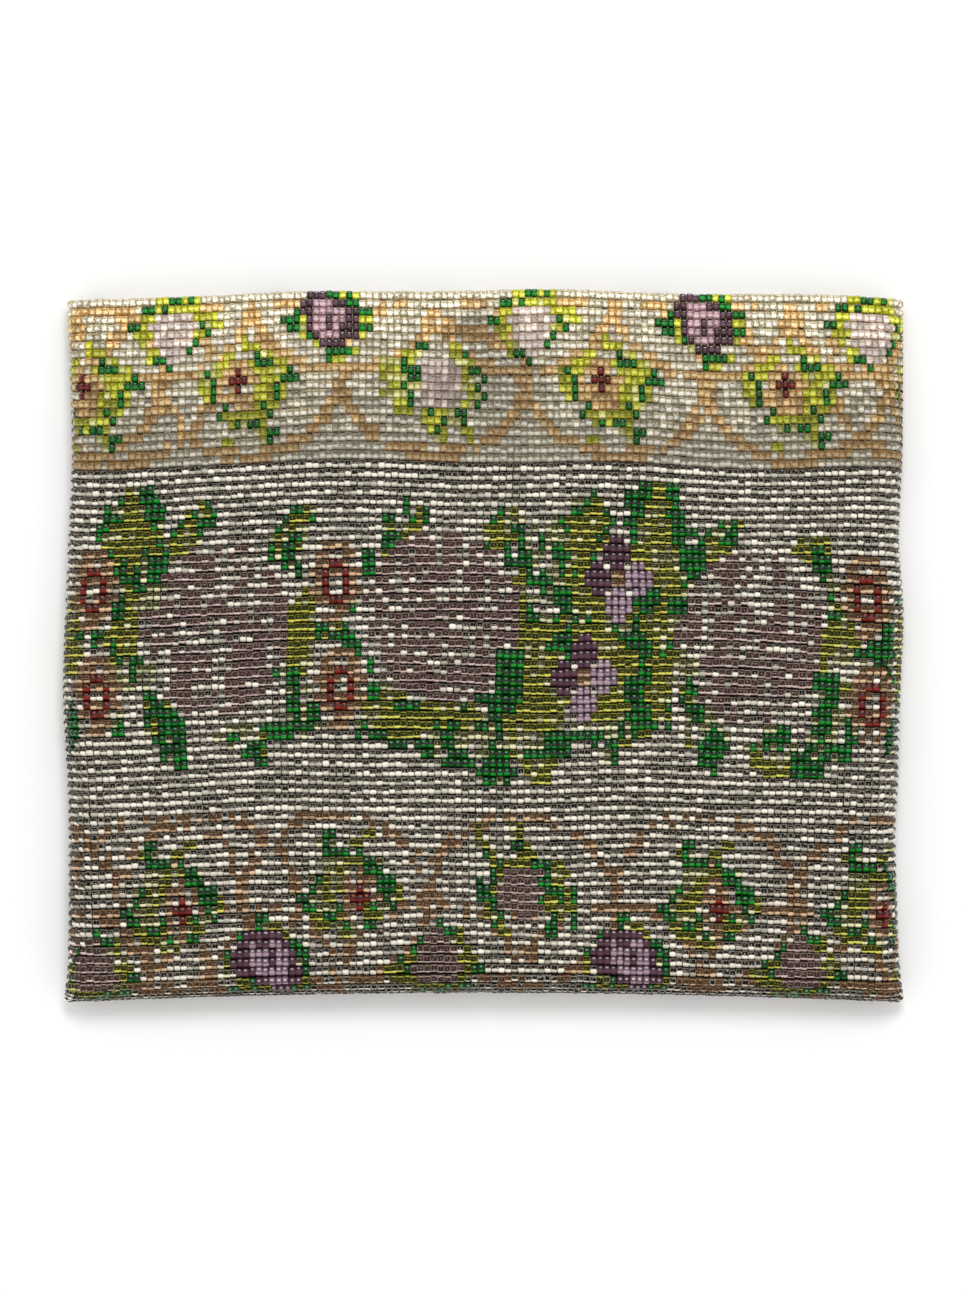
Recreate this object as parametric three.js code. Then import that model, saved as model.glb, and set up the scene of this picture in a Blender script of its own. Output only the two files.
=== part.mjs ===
// A beaded clutch lying on its back: a flat pouch of glass bead cloth, open along its top edge.
// Millimetres. X runs across the pouch, Y from its bottom edge to its mouth, and Z up from
// the surface that it lies on. The origin is on that surface, under the middle of the pouch.
import * as THREE from 'three';

// Driving sizes
const BEAD_DIAMETER = 2.2;
const CLOTH_THICKNESS = 1;
const GAP = 0.3;
const HALF_WIDTH = 104.7;
const SIDE_LENGTH = 174.4;
const ROW_ARCH = 2.4;
const SIDE_CROWN = 1.2;
const SEAM_HEIGHT = 5.5;
const SIDE_TURN = 7.5;
const BOTTOM_TURN = 5;
const FACING_DEPTH = 43;
const LIP_SETBACK = 1.5;

// Steps of the surfaces: round a turned edge, across a panel, up its two stretches, round the snap
const TURN_STEPS = 4;
const CURVED_SPAN_STEPS = 26;
const LINING_SPAN_STEPS = 8;
const FLAT_SPAN_STEPS = 5;
const BODY_STEPS = 10;
const MOUTH_STEPS = 10;
const SNAP_SIDES = 20;

// The outline's reach to the left and right of the middle, at heights above the bottom corners
const OUTLINE = [
  { up: 0, left: 104.3, right: 104.7 },
  { up: 12, left: 103.4, right: 103.6 },
  { up: 42, left: 103.3, right: 102.7 },
  { up: 54, left: 103.5, right: 103.3 },
  { up: 76, left: 104.7, right: 103.9 },
  { up: 97, left: 104.1, right: 104.7 },
  { up: 115, left: 103.4, right: 103.6 },
  { up: 137, left: 102.5, right: 104.4 },
  { up: SIDE_LENGTH, left: 103.6, right: 104.6 },
];

// Height of the front's outer face above the surface, along the middle of the pouch
const FRONT_PROFILE = [
  { up: 0, height: 16 },
  { up: 30, height: 17.6 },
  { up: 65, height: 18 },
  { up: 105, height: 17.6 },
  { up: 135, height: 16.8 },
  { up: 155, height: 15.6 },
  { up: 167, height: 14.4 },
  { up: SIDE_LENGTH, height: 13.2 },
];

// The snap, and the dents of the front round it: depth is how far the bead cloth is drawn in
const SNAP = { right: 5, up: 162, radius: 7, waist: 5.5, plate: 0.8, thickness: 3 };
const DENTS = [
  { right: SNAP.right, up: SNAP.up, reachAcross: 12, reachUp: 10, depth: 3.9 },
  { right: 7, up: 146, reachAcross: 17, reachUp: 9, depth: 0.9 },
  { right: -6, up: 171, reachAcross: 9, reachUp: 5, depth: -0.8 },
];

const FACING_START = SIDE_LENGTH - FACING_DEPTH;
const OVERALL_LENGTH = SIDE_LENGTH + ROW_ARCH;
const CLOTH_INSET = BEAD_DIAMETER + GAP;
const POUCH_INSET = CLOTH_INSET + CLOTH_THICKNESS;

// A table's column at a height, on a smooth curve through its rows
function tableAt(table, column, up) {
  const last = table.length - 1;
  const found = table.findIndex((row, k) => k > 0 && up <= row.up);
  const high = found < 0 ? last : found;
  const slope = (k) => {
    const before = table[Math.max(k - 1, 0)];
    const after = table[Math.min(k + 1, last)];
    return (after[column] - before[column]) / (after.up - before.up);
  };
  const a = table[high - 1];
  const b = table[high];
  const span = b.up - a.up;
  const t = (up - a.up) / span;
  const startShape = (1 + 2 * t) * (1 - t) ** 2;
  const endShape = t * t * (3 - 2 * t);
  const startLean = t * (1 - t) ** 2 * span * slope(high - 1);
  const endLean = t * t * (t - 1) * span * slope(high);
  return startShape * a[column] + endShape * b[column] + startLean + endLean;
}

// Height of the front's outer face: its profile, less its fall to the sides and its dents
function frontHeight(x, up) {
  const dented = DENTS.reduce((sum, dent) => {
    const across = (x - dent.right) / dent.reachAcross;
    const along = (up - dent.up) / dent.reachUp;
    return sum + dent.depth * Math.exp(-across * across - along * along);
  }, 0);
  return tableAt(FRONT_PROFILE, 'height', up) - SIDE_CROWN * (x / HALF_WIDTH) ** 2 - dented;
}

// Y of a point at a height above the bottom corners: the bead rows arch up in the middle
function rowY(x, up) {
  return up + ROW_ARCH * (1 - (x / HALF_WIDTH) ** 2) - OVERALL_LENGTH / 2;
}

// Even stations along a stretch
function spanStations(steps) {
  return Array.from({ length: steps + 1 }, (_, k) => ({ along: k / steps, turn: Math.PI / 2, end: 0 }));
}

// Stations round a turned edge, from the seam inwards: end is -1 at the low edge and 1 at the high edge
function turnStations(end) {
  const stations = Array.from({ length: TURN_STEPS }, (_, k) => ({
    along: end < 0 ? 0 : 1,
    turn: (k / TURN_STEPS) * (Math.PI / 2),
    end,
  }));
  return end < 0 ? stations : stations.reverse();
}

// Distance of a station from the low end of a stretch whose edges turn on the given round
function stationPlace(station, low, high, round) {
  return low + (high - low) * station.along + station.end * round * Math.cos(station.turn);
}

// Stations of a panel up its height: a turned bottom edge where it has one, the body, the mouth
function riseStations(panel) {
  const stations = [];
  if (panel.reachesBottom) {
    stations.push(...turnStations(-1));
    stations.push(...spanStations(BODY_STEPS));
  }
  if (panel.reachesMouth) {
    const mouth = spanStations(MOUTH_STEPS).map((station) => ({ ...station, inMouth: true }));
    stations.push(...(panel.reachesBottom ? mouth.slice(1) : mouth));
  }
  return stations;
}

// One face of a panel's wall, set in from the pouch's outside: the edges turn to the seam
function panelFace(panel, inset) {
  const bodyEnd = panel.reachesMouth ? FACING_START : panel.top;
  const mouthStart = panel.reachesBottom ? FACING_START : panel.bottom;
  const across = [...turnStations(-1), ...spanStations(panel.spanSteps), ...turnStations(1)];
  const seam = panel.isFront ? SEAM_HEIGHT + GAP / 2 : SEAM_HEIGHT - GAP / 2;
  return riseStations(panel).map((rise) => {
    const low = rise.inMouth ? mouthStart : BOTTOM_TURN;
    const high = rise.inMouth ? panel.top : bodyEnd;
    const up = stationPlace(rise, low, high, BOTTOM_TURN - inset);
    const left = SIDE_TURN - tableAt(OUTLINE, 'left', up);
    const right = tableAt(OUTLINE, 'right', up) - SIDE_TURN;
    return across.map((station) => {
      const x = stationPlace(station, left, right, SIDE_TURN - inset);
      const lift = Math.sin(station.turn) * Math.sin(rise.turn);
      const face = panel.isFront ? frontHeight(x, up) - inset : inset;
      return new THREE.Vector3(x, rowY(x, up), seam + (face - seam) * lift);
    });
  });
}

// A closed wall between an upper and a lower face on the same grid of points
function wallGeometry(upper, lower) {
  const rows = upper.length;
  const columns = upper[0].length;
  const points = [...upper.flat(), ...lower.flat()];
  const top = (row, column) => row * columns + column;
  const under = (row, column) => rows * columns + top(row, column);
  const triangles = [];
  const quad = (a, b, c, d) => triangles.push(a, b, c, a, c, d);
  for (let row = 0; row + 1 < rows; row += 1) {
    for (let column = 0; column + 1 < columns; column += 1) {
      quad(top(row, column), top(row, column + 1), top(row + 1, column + 1), top(row + 1, column));
      quad(under(row, column), under(row + 1, column), under(row + 1, column + 1), under(row, column + 1));
    }
  }
  for (let column = 0; column + 1 < columns; column += 1) {
    quad(under(0, column), under(0, column + 1), top(0, column + 1), top(0, column));
    quad(top(rows - 1, column), top(rows - 1, column + 1), under(rows - 1, column + 1), under(rows - 1, column));
  }
  for (let row = 0; row + 1 < rows; row += 1) {
    quad(top(row, 0), top(row + 1, 0), under(row + 1, 0), under(row, 0));
    quad(under(row, columns - 1), under(row + 1, columns - 1), top(row + 1, columns - 1), top(row, columns - 1));
  }
  const geometry = new THREE.BufferGeometry().setFromPoints(points);
  geometry.setIndex(triangles);
  geometry.computeVertexNormals();
  return geometry;
}

// A panel of bead cloth, facing or lining: the wall between two insets from the pouch's outside
function panelMesh(name, material, panel) {
  const outer = panelFace(panel, panel.inset);
  const inner = panelFace(panel, panel.inset + panel.thickness);
  const geometry = panel.isFront ? wallGeometry(outer, inner) : wallGeometry(inner, outer);
  const mesh = new THREE.Mesh(geometry, material);
  mesh.name = name;
  return mesh;
}

// The closed snap between the two facings: a plate on each cloth and a waist between them
function snapMesh(material) {
  const half = SNAP.thickness / 2;
  const profile = [
    new THREE.Vector2(0, -half),
    new THREE.Vector2(SNAP.radius, -half),
    new THREE.Vector2(SNAP.radius, SNAP.plate - half),
    new THREE.Vector2(SNAP.waist, SNAP.plate - half),
    new THREE.Vector2(SNAP.waist, half - SNAP.plate),
    new THREE.Vector2(SNAP.radius, half - SNAP.plate),
    new THREE.Vector2(SNAP.radius, half),
    new THREE.Vector2(0, half),
  ];
  const mesh = new THREE.Mesh(new THREE.LatheGeometry(profile, SNAP_SIDES), material);
  mesh.name = 'snap';
  mesh.rotation.x = Math.PI / 2;
  mesh.position.set(SNAP.right, rowY(SNAP.right, SNAP.up), POUCH_INSET + GAP + half);
  return mesh;
}

const glassBeads = new THREE.MeshStandardMaterial({ color: 0xa39a80, roughness: 0.2, metalness: 0 });
const paleCloth = new THREE.MeshStandardMaterial({ color: 0xd8cdb4, roughness: 0.9, metalness: 0 });
const darkCloth = new THREE.MeshStandardMaterial({ color: 0x1d1a17, roughness: 0.9, metalness: 0 });
const snapMetal = new THREE.MeshStandardMaterial({ color: 0xb8b4ac, roughness: 0.35, metalness: 1 });

const BEADWORK = {
  inset: 0,
  thickness: BEAD_DIAMETER,
  top: SIDE_LENGTH,
  reachesBottom: true,
  reachesMouth: true,
};
const FACING = {
  inset: CLOTH_INSET,
  thickness: CLOTH_THICKNESS,
  bottom: FACING_START,
  top: SIDE_LENGTH - LIP_SETBACK,
  reachesBottom: false,
  reachesMouth: true,
};
const LINING = {
  inset: CLOTH_INSET,
  thickness: CLOTH_THICKNESS,
  top: FACING_START - GAP,
  reachesBottom: true,
  reachesMouth: false,
};
const FRONT = { isFront: true, spanSteps: CURVED_SPAN_STEPS };
const FRONT_INSIDE = { isFront: true, spanSteps: LINING_SPAN_STEPS };
const BACK = { isFront: false, spanSteps: FLAT_SPAN_STEPS };

const clutch = new THREE.Group();
clutch.add(
  panelMesh('front_beadwork', glassBeads, { ...BEADWORK, ...FRONT }),
  panelMesh('back_beadwork', glassBeads.clone(), { ...BEADWORK, ...BACK }),
  panelMesh('front_facing', paleCloth, { ...FACING, ...FRONT }),
  panelMesh('back_facing', paleCloth.clone(), { ...FACING, ...BACK }),
  panelMesh('front_lining', darkCloth, { ...LINING, ...FRONT_INSIDE }),
  panelMesh('back_lining', darkCloth.clone(), { ...LINING, ...BACK }),
  snapMesh(snapMetal),
);

export default clutch;
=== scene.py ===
"""A beaded clutch lying on its back: glass seed beads, their threads and the cloth behind them."""

import bpy
import numpy as np
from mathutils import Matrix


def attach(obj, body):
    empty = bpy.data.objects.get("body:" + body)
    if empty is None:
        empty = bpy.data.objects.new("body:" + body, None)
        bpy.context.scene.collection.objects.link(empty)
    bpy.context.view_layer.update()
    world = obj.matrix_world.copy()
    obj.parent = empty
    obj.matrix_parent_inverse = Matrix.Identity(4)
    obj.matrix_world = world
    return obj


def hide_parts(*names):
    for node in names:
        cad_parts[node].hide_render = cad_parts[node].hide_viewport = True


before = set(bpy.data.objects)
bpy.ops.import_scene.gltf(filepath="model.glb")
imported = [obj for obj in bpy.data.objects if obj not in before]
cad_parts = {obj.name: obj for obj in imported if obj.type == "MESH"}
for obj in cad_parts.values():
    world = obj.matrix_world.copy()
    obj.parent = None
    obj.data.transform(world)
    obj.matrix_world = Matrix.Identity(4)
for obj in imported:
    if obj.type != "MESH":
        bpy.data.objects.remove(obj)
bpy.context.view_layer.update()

# Sizes of the pouch in millimetres, as the frame has them
MM = 0.001
HALF_WIDTH = 104.7
SIDE_LENGTH = 174.4
ROW_ARCH = 2.4
SIDE_CROWN = 1.2
SEAM_HEIGHT = 5.5
GAP = 0.3
SIDE_TURN = 7.5
BOTTOM_TURN = 5.0
FACING_START = SIDE_LENGTH - 43.0
LIP_SETBACK = 1.5
OVERALL_LENGTH = SIDE_LENGTH + ROW_ARCH

# Height above the bottom corners, reach to the left, reach to the right
OUTLINE = np.array([
    (0, 104.3, 104.7),
    (12, 103.4, 103.6),
    (42, 103.3, 102.7),
    (54, 103.5, 103.3),
    (76, 104.7, 103.9),
    (97, 104.1, 104.7),
    (115, 103.4, 103.6),
    (137, 102.5, 104.4),
    (SIDE_LENGTH, 103.6, 104.6),
])

# Height above the bottom corners, height of the front's face above the floor
FRONT_PROFILE = np.array([
    (0, 16),
    (30, 17.6),
    (65, 18),
    (105, 17.6),
    (135, 16.8),
    (155, 15.6),
    (167, 14.4),
    (SIDE_LENGTH, 13.2),
])

# Right, up, reach across, reach up and depth of the dents that the snap draws in the front
DENTS = np.array([
    (5, 162, 12, 10, 3.9),
    (7, 146, 17, 9, 0.9),
    (-6, 171, 9, 5, -0.8),
])

# Right, up, reach across, reach up and loss of tone of the shade painted on the beads
# in the dent's hollows, below and beside the snap
PAINTED_DENT_SHADE = np.array([
    (3.5, 153, 10, 9, 0.74),
    (-1.5, 164.5, 7, 4, 0.8),
])

# The beads: they lie with their holes along the rows
BEAD_RADIUS = 1.06
BEAD_LENGTH = 1.62
BEAD_INSET = 1.1
COLUMN_PITCH = 1.66
FIRST_ROW = 1.05
ROW_PITCH = 2.14
ROW_PITCH_GROWTH = 0.0019
EDGE_COLUMNS = 4
EASED_ROWS = 10

# How the beads differ. Along the rows they drift, and up the columns they sway, in slow waves that reach
# so many rows and columns. The last rows are steadier. Waves and spreads of place are in millimetres, the
# spin is in radians, and lean, lengths and radii are shares.
DRIFT_WAVE = 0.28
DRIFT_REACH = (9, 5)
DRIFT_SPREAD = 0.03
SWAY_WAVE = 0.3
SWAY_REACH = (4, 8)
SLOW_SWAY_WAVE = 0.2
SLOW_SWAY_REACH = (12, 7)
SWAY_SPREAD = 0.07
STEADIER_ROWS = 8
LEAN_SPREAD = 0.035
SPIN_SPREAD = 0.09
LENGTH_SPREAD = 0.04
RADIUS_MEAN = 0.985
RADIUS_SPREAD = 0.025
RADIUS_LIMIT = 1.02
CLOSE_LENGTH = 1.06
TURNED_LENGTH = 1.08
FACED_RADIUS = 1.05

# The warp threads between the bead columns
THREAD_RADIUS = 0.13
THREAD_RISE = 0.12

# The cloth behind the beads: its two faces in from the pouch's outside, and its flat sizes in metres
CLOTH_OUTSIDE = 2.6
CLOTH_INSIDE = 3.3

# The rows of the clear beads' pieces on the front, and a range that takes in every row
EVERY_ROW = (0, 1000)
CLEAR_ZONES = {"mouth": (0, 20), "middle": (20, 52), "foot": (52, EVERY_ROW[1])}

# The view: its height on the pouch, its middle and the height of its plane, in millimetres
VIEW_HEIGHT = 321.2
VIEW_MIDDLE = (0.2, 0.5)
VIEW_PLANE = 5.5
LENS = 180.0
SENSOR = 36.0

# The floor's grey and half side, the strength of the surround, and the soft box, in metres and watts
FLOOR_GREY = 0.94
FLOOR_HALF = 1.5
SURROUND = 0.85
BOX_PLACE = (0.08, 0.6, 1.25)
BOX_SIZE = 0.4
BOX_POWER = 7

SEED = 11


# The form of the pouch

def curve_through(table, column, at):
    """A smooth curve through a table's rows: cubic pieces whose slope at each row is that of the
    straight line between its two neighbours."""
    knots = table[:, 0]
    values = table[:, column]
    slopes = np.gradient(values, knots)
    slopes[1:-1] = (values[2:] - values[:-2]) / (knots[2:] - knots[:-2])
    low = np.clip(np.searchsorted(knots, at) - 1, 0, len(knots) - 2)
    span = knots[low + 1] - knots[low]
    t = (at - knots[low]) / span
    start = (1 + 2 * t) * (1 - t) ** 2 * values[low] + t * (1 - t) ** 2 * span * slopes[low]
    end = t * t * (3 - 2 * t) * values[low + 1] + t * t * (t - 1) * span * slopes[low + 1]
    return start + end


def bell(x, up, right, middle_up, reach_across, reach_up):
    """A bell over the front: e to the power of minus the squares of the shares of its two reaches."""
    return np.exp(-((x - right) / reach_across) ** 2 - ((up - middle_up) / reach_up) ** 2)


def front_height(x, up):
    """Height of the front's face: its profile, less a fall with the square of the distance from the
    middle, less a bell-shaped hollow for each dent."""
    height = curve_through(FRONT_PROFILE, 1, up) - SIDE_CROWN * (x / HALF_WIDTH) ** 2
    for *where, depth in DENTS:
        height = height - depth * bell(x, up, *where)
    return height


def up_at(rise):
    """Height above the bottom corners at a rise of 1 to 2."""
    return BOTTOM_TURN + (SIDE_LENGTH - BOTTOM_TURN) * (rise - 1)


def rise_at(up):
    """The rise of 1 to 2 at a height above the bottom corners."""
    return 1 + (up - BOTTOM_TURN) / (SIDE_LENGTH - BOTTOM_TURN)


def panel_points(across, rise, inset, is_front):
    """Points of a panel, set in from the pouch's outside. across goes 0 to 1 round the left side, 1 to 2
    over the panel and 2 to 3 round the right side. rise goes 0 to 1 round the bottom and 1 to 2 up to
    the mouth. Both turns are quarter ellipses that end at the seam, and the rows arch up in the middle."""
    across, rise = np.broadcast_arrays(across, rise)
    side_angle = np.pi / 2 * np.clip(np.minimum(across, 3 - across), 0, 1)
    bottom_angle = np.pi / 2 * np.clip(rise, 0, 1)
    turn_up = BOTTOM_TURN - (BOTTOM_TURN - inset) * np.cos(bottom_angle)
    up = np.where(rise < 1, turn_up, up_at(rise))
    left = SIDE_TURN - curve_through(OUTLINE, 1, up)
    right = curve_through(OUTLINE, 2, up) - SIDE_TURN
    outward = np.sign(across - 1.5) * (SIDE_TURN - inset) * np.cos(side_angle)
    x = left + (right - left) * np.clip(across - 1, 0, 1) + outward
    y = up + ROW_ARCH * (1 - (x / HALF_WIDTH) ** 2) - OVERALL_LENGTH / 2
    seam = SEAM_HEIGHT + (GAP / 2 if is_front else -GAP / 2)
    face = front_height(x, up) - inset if is_front else np.full_like(x, inset)
    z = seam + (face - seam) * np.sin(side_angle) * np.sin(bottom_angle)
    return np.stack([x, y, z], -1)


def lengths_along(points):
    """Distance from the first point of each line of points, added up along the line."""
    steps = np.linalg.norm(np.diff(points, axis=-2), axis=-1)
    start = np.zeros(steps.shape[:-1] + (1,))
    return np.concatenate([start, np.cumsum(steps, axis=-1)], axis=-1)


def row_rises(inset, is_front):
    """The rise of each bead row, from the mouth down: rows lie a bead apart along the panel's middle and a
    little further apart towards the bottom. The last few are eased so that the last ends at the seam."""
    rise = np.linspace(2, 0, 4000)
    depth = lengths_along(panel_points(1.5, rise, inset, is_front))
    number = np.arange(200)
    wanted = FIRST_ROW + ROW_PITCH * number + ROW_PITCH_GROWTH / 2 * number ** 2
    seam_row = depth[-1] - 0.95 * BEAD_RADIUS
    last = np.argmin(np.abs(wanted - seam_row))
    eased = np.clip((number - last) / EASED_ROWS + 1, 0, 1) * (seam_row - wanted[last])
    return np.interp((wanted + eased)[:last + 1], depth, rise)


def column_acrosses(rises, columns, inset, is_front, shift=0.5):
    """The across value of each column on each row: the columns share the row's length evenly."""
    across = np.linspace(0, 3, 1600)
    lengths = lengths_along(panel_points(across[None, :], rises[:, None], inset, is_front))
    shares = (np.arange(columns) + shift) / columns
    return np.stack([np.interp(shares * length[-1], length, across) for length in lengths])


def column_count(inset, is_front):
    """How many columns of beads fit on the panel's middle row, from seam to seam."""
    across = np.linspace(0, 3, 1600)
    return int(lengths_along(panel_points(across, 1.5, inset, is_front))[-1] // COLUMN_PITCH)


def unit(vectors):
    """The same directions, one long."""
    return vectors / np.linalg.norm(vectors, axis=-1, keepdims=True)


def slow_waves(random, shape, reach):
    """Slow random waves over a grid of beads: noise blurred by a bell curve that reaches the given number
    of rows and columns, brought to a spread of one."""
    rows = np.fft.fftfreq(shape[0])[:, None] * reach[0]
    columns = np.fft.fftfreq(shape[1])[None, :] * reach[1]
    bell = np.exp(-2 * np.pi ** 2 * (rows ** 2 + columns ** 2))
    blurred = np.fft.ifft2(np.fft.fft2(random.normal(size=shape)) * bell).real
    return blurred / blurred.std()


def panel_frames(across, rise, inset, is_front):
    """Places and directions on a panel: the point, the way along its row, up its column and outwards.
    The directions are differences between points a small step apart, made square to each other."""
    step = 0.004
    place = panel_points(across, rise, inset, is_front)
    ahead = panel_points(np.minimum(across + step, 3), rise, inset, is_front)
    behind = panel_points(np.maximum(across - step, 0), rise, inset, is_front)
    above = panel_points(across, np.minimum(rise + step, 2), inset, is_front)
    below = panel_points(across, np.maximum(rise - step, 0), inset, is_front)
    along = unit(ahead - behind) * (1 if is_front else -1)
    outward = unit(np.cross(along, above - below))
    return place, along, np.cross(outward, along), outward


FRONT_RISES = row_rises(BEAD_INSET, True)
BACK_RISES = row_rises(BEAD_INSET, False)
FRONT_COLUMNS = column_count(BEAD_INSET, True)
BACK_COLUMNS = column_count(BEAD_INSET, False)
ROUND = FRONT_COLUMNS + BACK_COLUMNS
MIDDLE = FRONT_COLUMNS // 2 - 1


# The chart of the bead colours: a row for each row of beads from the mouth down, a column for each
# column of beads round the pouch from its left side. Places on it are columns from the front's middle
# and rows from the mouth.

LETTERS = "cglsermpv"
CLEAR, GOLD, LIME, PALE_LIME, GREEN, RED, MAUVE, PURPLE, LILAC = range(len(LETTERS))
SEE_THROUGH = (CLEAR, GOLD, LIME, PALE_LIME, MAUVE)

CROSS_FLOWER = (
    ".......l........",
    ".......lll......",
    "....ll...esl....",
    "..lllgggleeell..",
    "lellggrggllllle.",
    "lleggrrrggllleee",
    "llegggrgglllel..",
    ".legggggglllel..",
    "....egggglell...",
    "...ellllllle....",
    ".....leleel.....",
    ".........slee...",
    "....ll....le....",
)
BLOSSOM = (
    ".....ee...ll....",
    "...lll....lle...",
    "lllel.mmmmmlll..",
    "llleeemmmmmmlee.",
    "llsseemmmmmmls.e",
    ".llessmmmmmmlle.",
    "llsse.mmmmmm.lse",
    "..lle.mmmmm.lse.",
    "..lll.lellsee...",
    "......lllesse...",
    ".......lel..ll..",
    "........ll...l..",
)
PURPLE_ROSE = (
    "....pppeelel..",
    "...ppvvvppee..",
    "..eppvvvvvppee",
    "eeelpvvpvvppll",
    ".eelpvvpvpppee",
    "...lepvvvpppl.",
    ".....lpppp....",
    ".......eeeel..",
    ".......ell....",
)
PALE_ROSE = (
    "....lleelel....",
    "..eelelllll....",
    "..llmmmmmmllll.",
    "eelmmmmmmmmelll",
    ".lllmmmmmmlle..",
    "..l.mmmmmme....",
    "...llmmmme.....",
    "...leemm.......",
    "......e........",
)
RING_FLOWER = (
    "..gggg..",
    ".gggcgg.",
    ".ggrrgg.",
    "ggrggrgg",
    "cgrccrgc",
    "ggrggrgg",
    ".ggrrgg.",
    "..cggg..",
    "..gggc..",
)
PANSY = (
    "....pp....",
    "...pppp...",
    "...pppp...",
    ".ppcppcvv.",
    "ppppggvvvv",
    "ppppggvvvv",
    ".ppcvvcvv.",
    "...vvvv...",
    "...vvvv...",
    "....vv....",
)
LOW_FLOWER = (
    "....ee....ll....",
    "...les..ll......",
    "....eeeege......",
    "....ssslllees...",
    "....ssllggeee...",
    "..selllgggggeee.",
    "..eslllggrggeeel",
    "eeslll.grrrggesl",
    ".eessseggrlesse.",
    "..lleelggglll...",
    "...lllses.ee....",
    "......lll.......",
)
LOW_ROSE = (
    ".....ee......",
    ".....esll....",
    "..eppppppl...",
    "..ppvppvvpee.",
    "epppvvvpvvpee",
    "lpppvvvpvvpse",
    "l.pppvvvvvppe",
    "..lleppvvvppl",
    "eellellpppele",
)
LOW_BLOSSOM = (
    "l....ll........",
    "l....ll........",
    "ll...eel.......",
    ".el...lll......",
    "..lelllleeell..",
    "..elmmmmmmelll.",
    "e.elmmmmmeell..",
    "eelmmmmmmmeeele",
    "eeemmmmmmellele",
    ".lemmmmmmmlllll",
    ".lle.gmmg..el.e",
    "..el..g...ee..e",
    "...ll.....ee...",
)


def turned(motif):
    """A motif turned half round."""
    return tuple(row[::-1] for row in motif[::-1])


# Scalloped borders: how many scallops are drawn, how deep they and half their line are in rows, and for
# each border their spacing in columns, the column and row of the first full and the first half scallop,
# and the first and last row that they may reach
SCALLOPS = 6
SCALLOP_DEPTH = 9.4
SCALLOP_HALF_LINE = 0.66
TOP_BORDER = (27.6, ((-62.7, 9.3), (-76.5, 0)), (1, 20))
LOW_BORDER = (27.65, ((-49, 68.2), (-62.8, 78)), (50, 81))

# The stretch of a top scallop that the snap's dent draws aside, from column and row to column and row,
# and its thickness in rows
DRAWN_SCALLOP = ((-7, 3.6), (3.5, 5.6))
DRAWN_THICKNESS = 2

# The flowers of the borders: motif, middle column and first row. The pale roses of the bottom are turned.
TOP_FLOWERS = (
    (CROSS_FLOWER, -59, 5),
    (CROSS_FLOWER, -35, 5),
    (BLOSSOM, -7, 6),
    (CROSS_FLOWER, 20, 5),
    (CROSS_FLOWER, 48, 5),
    (PALE_ROSE, -47, 0),
    (PURPLE_ROSE, -23, 0),
    (PALE_ROSE, 8, 0),
    (PURPLE_ROSE, 34, 0),
    (PALE_ROSE, 60, 0),
)
LOW_FLOWERS = (
    (LOW_FLOWER, -46, 62),
    (LOW_FLOWER, -19, 61),
    (LOW_BLOSSOM, 7, 60),
    (LOW_FLOWER, 35, 62),
    (LOW_FLOWER, 60, 62),
    (turned(PALE_ROSE), -59, 71),
    (LOW_ROSE, -32, 70),
    (turned(PALE_ROSE), -7, 71),
    (LOW_ROSE, 22, 70),
    (turned(PALE_ROSE), 48, 71),
)

# How many columns the whole garland lies to the right, and how many rows lower at columns across it
GARLAND_RIGHT = 0.6
GARLAND_HANG = ((-60, -40, -22, -12, 60), (1.75, 1.6, 1.2, 0.1, 0.4))

# The garland. Fields and ovals: middle column and row, half width and half height.
LIME_FIELDS = (
    (-62, 36.5, 2.6, 4.6),
    (-53, 36.8, 2.4, 5.2),
    (-27, 37.5, 2.2, 5),
    (8, 42, 4.6, 13.6),
    (11, 35, 7, 9),
    (20, 43, 8, 8),
    (23.5, 39, 5.5, 11),
    (53, 40, 3.4, 5.2),
    (64, 40, 2.6, 6),
    (49, 28.6, 3, 1.8),
    (43.5, 52, 4, 1.9),
    (32.5, 50.3, 2.6, 1.4),
)
OVALS = (
    (-40, 36.3, 11.3, 9.7),
    (-6.5, 37, 11.6, 9.8),
    (39.3, 38.5, 11, 9.8),
)
RING_FLOWERS = ((-58, 27), (-57, 39), (-22, 28), (-21, 40), (57, 30), (58, 42))
PANSIES = ((20, 27.4), (15.6, 38.6))

# Leaves: tip, base, half width in columns, colour of the body
LEAVES = (
    ((-52.5, 20.3), (-53.2, 34), 4.7, LIME),
    ((-41.5, 22.3), (-48, 29.5), 2.4, LIME),
    ((-25.8, 23.3), (-32, 29), 2.3, LIME),
    ((-45, 51.5), (-49.5, 41.5), 2.8, GREEN),
    ((-31.8, 51.5), (-39.5, 46.8), 1.9, LIME),
    ((-8, 24.2), (-16.5, 33.5), 1.6, LIME),
    ((4.5, 24.5), (0.5, 30), 2.7, LIME),
    ((17, 23), (13, 32), 3.4, LIME),
    ((26, 21.3), (25.5, 42), 4.8, LIME),
    ((38.2, 25.2), (31, 31), 2.3, LIME),
)

# The lime band that hangs below the middle oval, and its thickness in rows
HANGING_BAND = ((-15, 47), (-8, 48.3), (2, 50), (9, 50))
BAND_THICKNESS = 5.4

# The rows before and after the garland
GARLAND_ROWS = (20, 57)

# Odd beads of the garland: the ground that they lie on, their colour and their share of it, and what the
# slow bands and stripes of chance add to that share
ODD_BEADS = (
    (MAUVE, CLEAR, 0.18, 0.22, 0.3),
    (PALE_LIME, CLEAR, 0.35, 0, 0),
    (GREEN, LIME, 0.08, 0, 0.16),
)

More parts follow.
